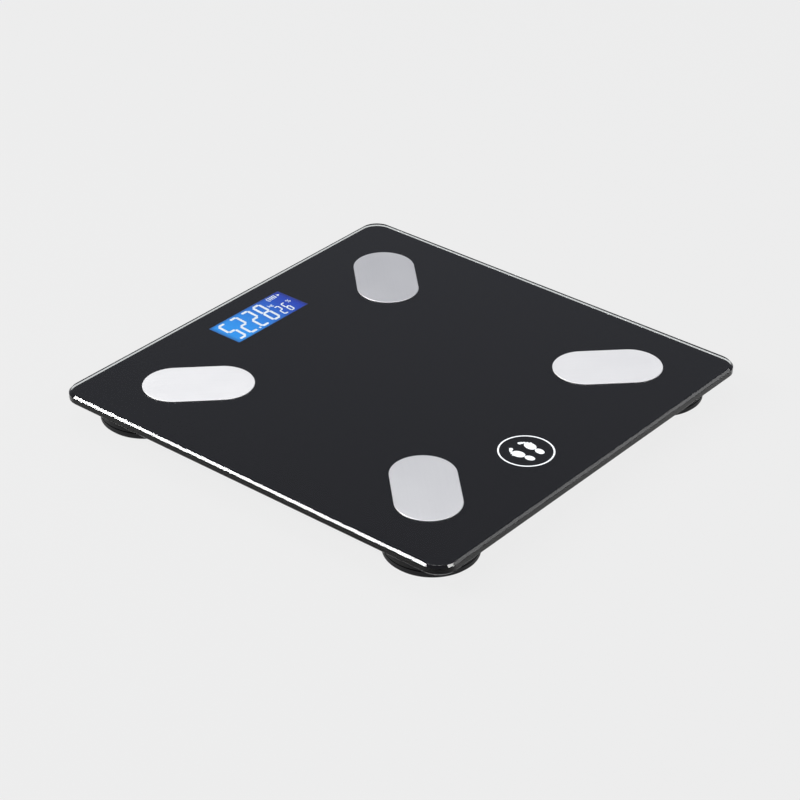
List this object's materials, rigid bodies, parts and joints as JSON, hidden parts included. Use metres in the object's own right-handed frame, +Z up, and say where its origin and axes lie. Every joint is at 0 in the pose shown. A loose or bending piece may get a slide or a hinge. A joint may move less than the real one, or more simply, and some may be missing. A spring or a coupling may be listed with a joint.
{
  "type": "digital bathroom scale",
  "caption": "Square glass body scale with round-ended steel electrodes, a lit blue display, round load-cell feet and a battery housing under the glass.",
  "frame": {"origin": "on the floor, under the middle of the platform", "axes": "+Z up, +Y from the user towards the display's side, +X to the user's right"},
  "size_m": [0.3, 0.3, 0.0216],
  "materials": {
    "platform_glass": "polished, clear, with polished chamfers",
    "black_print": "opaque black layer seen through the glass",
    "electrode_steel": "finely brushed, with a bright rounded rim",
    "foot_plastic": "fine satin",
    "sole_rubber": "matt, ribbed",
    "cell_steel": "stamped and nickel plated",
    "channel_plastic": "fine satin",
    "lead_insulation": "smooth insulation in four colours",
    "foam_tape": "thin adhesive tape",
    "fixing_steel": "bright plated",
    "terminal_brass": "tinned",
    "gauge_silicone": "soft white silicone",
    "housing_plastic": "fine texture",
    "battery_sleeve": "printed sleeve",
    "contact_steel": "nickel plated spring steel",
    "display_glass": "lit blue, with white segments",
    "light_guide_acrylic": "frosted acrylic",
    "strip_rubber": "layered contact rubber",
    "board_laminate": "solder mask",
    "chip_resin": "black resin",
    "socket_nylon": "moulded nylon",
    "button_plastic": "satin"
  },
  "bodies": {
    "platform": {"backlight_led": "light_guide_acrylic", "battery_back": "battery_sleeve", "battery_contacts": "contact_steel", "battery_front": "battery_sleeve", "battery_leads": "lead_insulation", "battery_springs": "contact_steel", "black_film": "black_print", "board_parts": "chip_resin", "board_screws": "fixing_steel", "cable_channel_back_left": "channel_plastic", "cable_channel_back_right": "channel_plastic", "cable_channel_front_left": "channel_plastic", "cable_channel_front_right": "channel_plastic", "cable_elbow_back_left": "channel_plastic", "cable_elbow_back_right": "channel_plastic", "cell_leads_back_left": "lead_insulation", "cell_leads_back_right": "lead_insulation", "cell_leads_front_left": "lead_insulation", "cell_leads_front_right": "lead_insulation", "cell_screws": "fixing_steel", "center_housing": "housing_plastic", "contact_strips": "strip_rubber", "controller_chip": "chip_resin", "electrode_back_left": "electrode_steel", "electrode_back_right": "electrode_steel", "electrode_front_left": "electrode_steel", "electrode_front_right": "electrode_steel", "electrode_leads": "lead_insulation", "electrode_nuts": "fixing_steel", "electrode_studs": "fixing_steel", "electrode_tapes": "foam_tape", "foot_housing_back_left": "foot_plastic", "foot_housing_back_right": "foot_plastic", "foot_housing_front_left": "foot_plastic", "foot_housing_front_right": "foot_plastic", "glass_platform": "platform_glass", "lcd_holder": "housing_plastic", "lcd_panel": "display_glass", "lead_sockets": "socket_nylon", "light_guide": "light_guide_acrylic", "load_cell_back_left": "cell_steel", "load_cell_back_right": "cell_steel", "load_cell_front_left": "cell_steel", "load_cell_front_right": "cell_steel", "main_board": "board_laminate", "ring_terminals": "terminal_brass", "strain_gauges": "gauge_silicone", "switch_body": "socket_nylon"},
    "foot_front_left": {"foot_pad_front_left": "foot_plastic", "rubber_sole_front_left": "sole_rubber"},
    "foot_front_right": {"foot_pad_front_right": "foot_plastic", "rubber_sole_front_right": "sole_rubber"},
    "foot_back_left": {"foot_pad_back_left": "foot_plastic", "rubber_sole_back_left": "sole_rubber"},
    "foot_back_right": {"foot_pad_back_right": "foot_plastic", "rubber_sole_back_right": "sole_rubber"},
    "battery_door": {"battery_door": "housing_plastic"},
    "unit_button": {"unit_button": "button_plastic", "switch_plunger": "socket_nylon"}
  },
  "joints": [
    {"name": "foot_front_left_press", "type": "slide", "parent": "platform", "child": "foot_front_left", "axis": [0, 0, 1], "range_m": [0, 0.0003], "stiffness_N_per_m": 8000, "springref_m": -0.0015, "deforming": ["load_cell_front_left"]},
    {"name": "foot_front_right_press", "type": "slide", "parent": "platform", "child": "foot_front_right", "axis": [0, 0, 1], "range_m": [0, 0.0003], "stiffness_N_per_m": 8000, "springref_m": -0.0015, "deforming": ["load_cell_front_right"]},
    {"name": "foot_back_left_press", "type": "slide", "parent": "platform", "child": "foot_back_left", "axis": [0, 0, 1], "range_m": [0, 0.0003], "stiffness_N_per_m": 8000, "springref_m": -0.0015, "deforming": ["load_cell_back_left"]},
    {"name": "foot_back_right_press", "type": "slide", "parent": "platform", "child": "foot_back_right", "axis": [0, 0, 1], "range_m": [0, 0.0003], "stiffness_N_per_m": 8000, "springref_m": -0.0015, "deforming": ["load_cell_back_right"]},
    {"name": "unit_button_press", "type": "slide", "parent": "platform", "child": "unit_button", "axis": [0, 0, 1], "range_m": [0, 0.0004], "stiffness_N_per_m": 600, "springref_m": -0.001},
    {"name": "battery_door_hinge", "type": "hinge", "parent": "platform", "child": "battery_door", "pos_m": [0, -0.0133, 0.0023], "axis": [-1, 0, 0], "range_deg": [0, 75]}
  ]
}
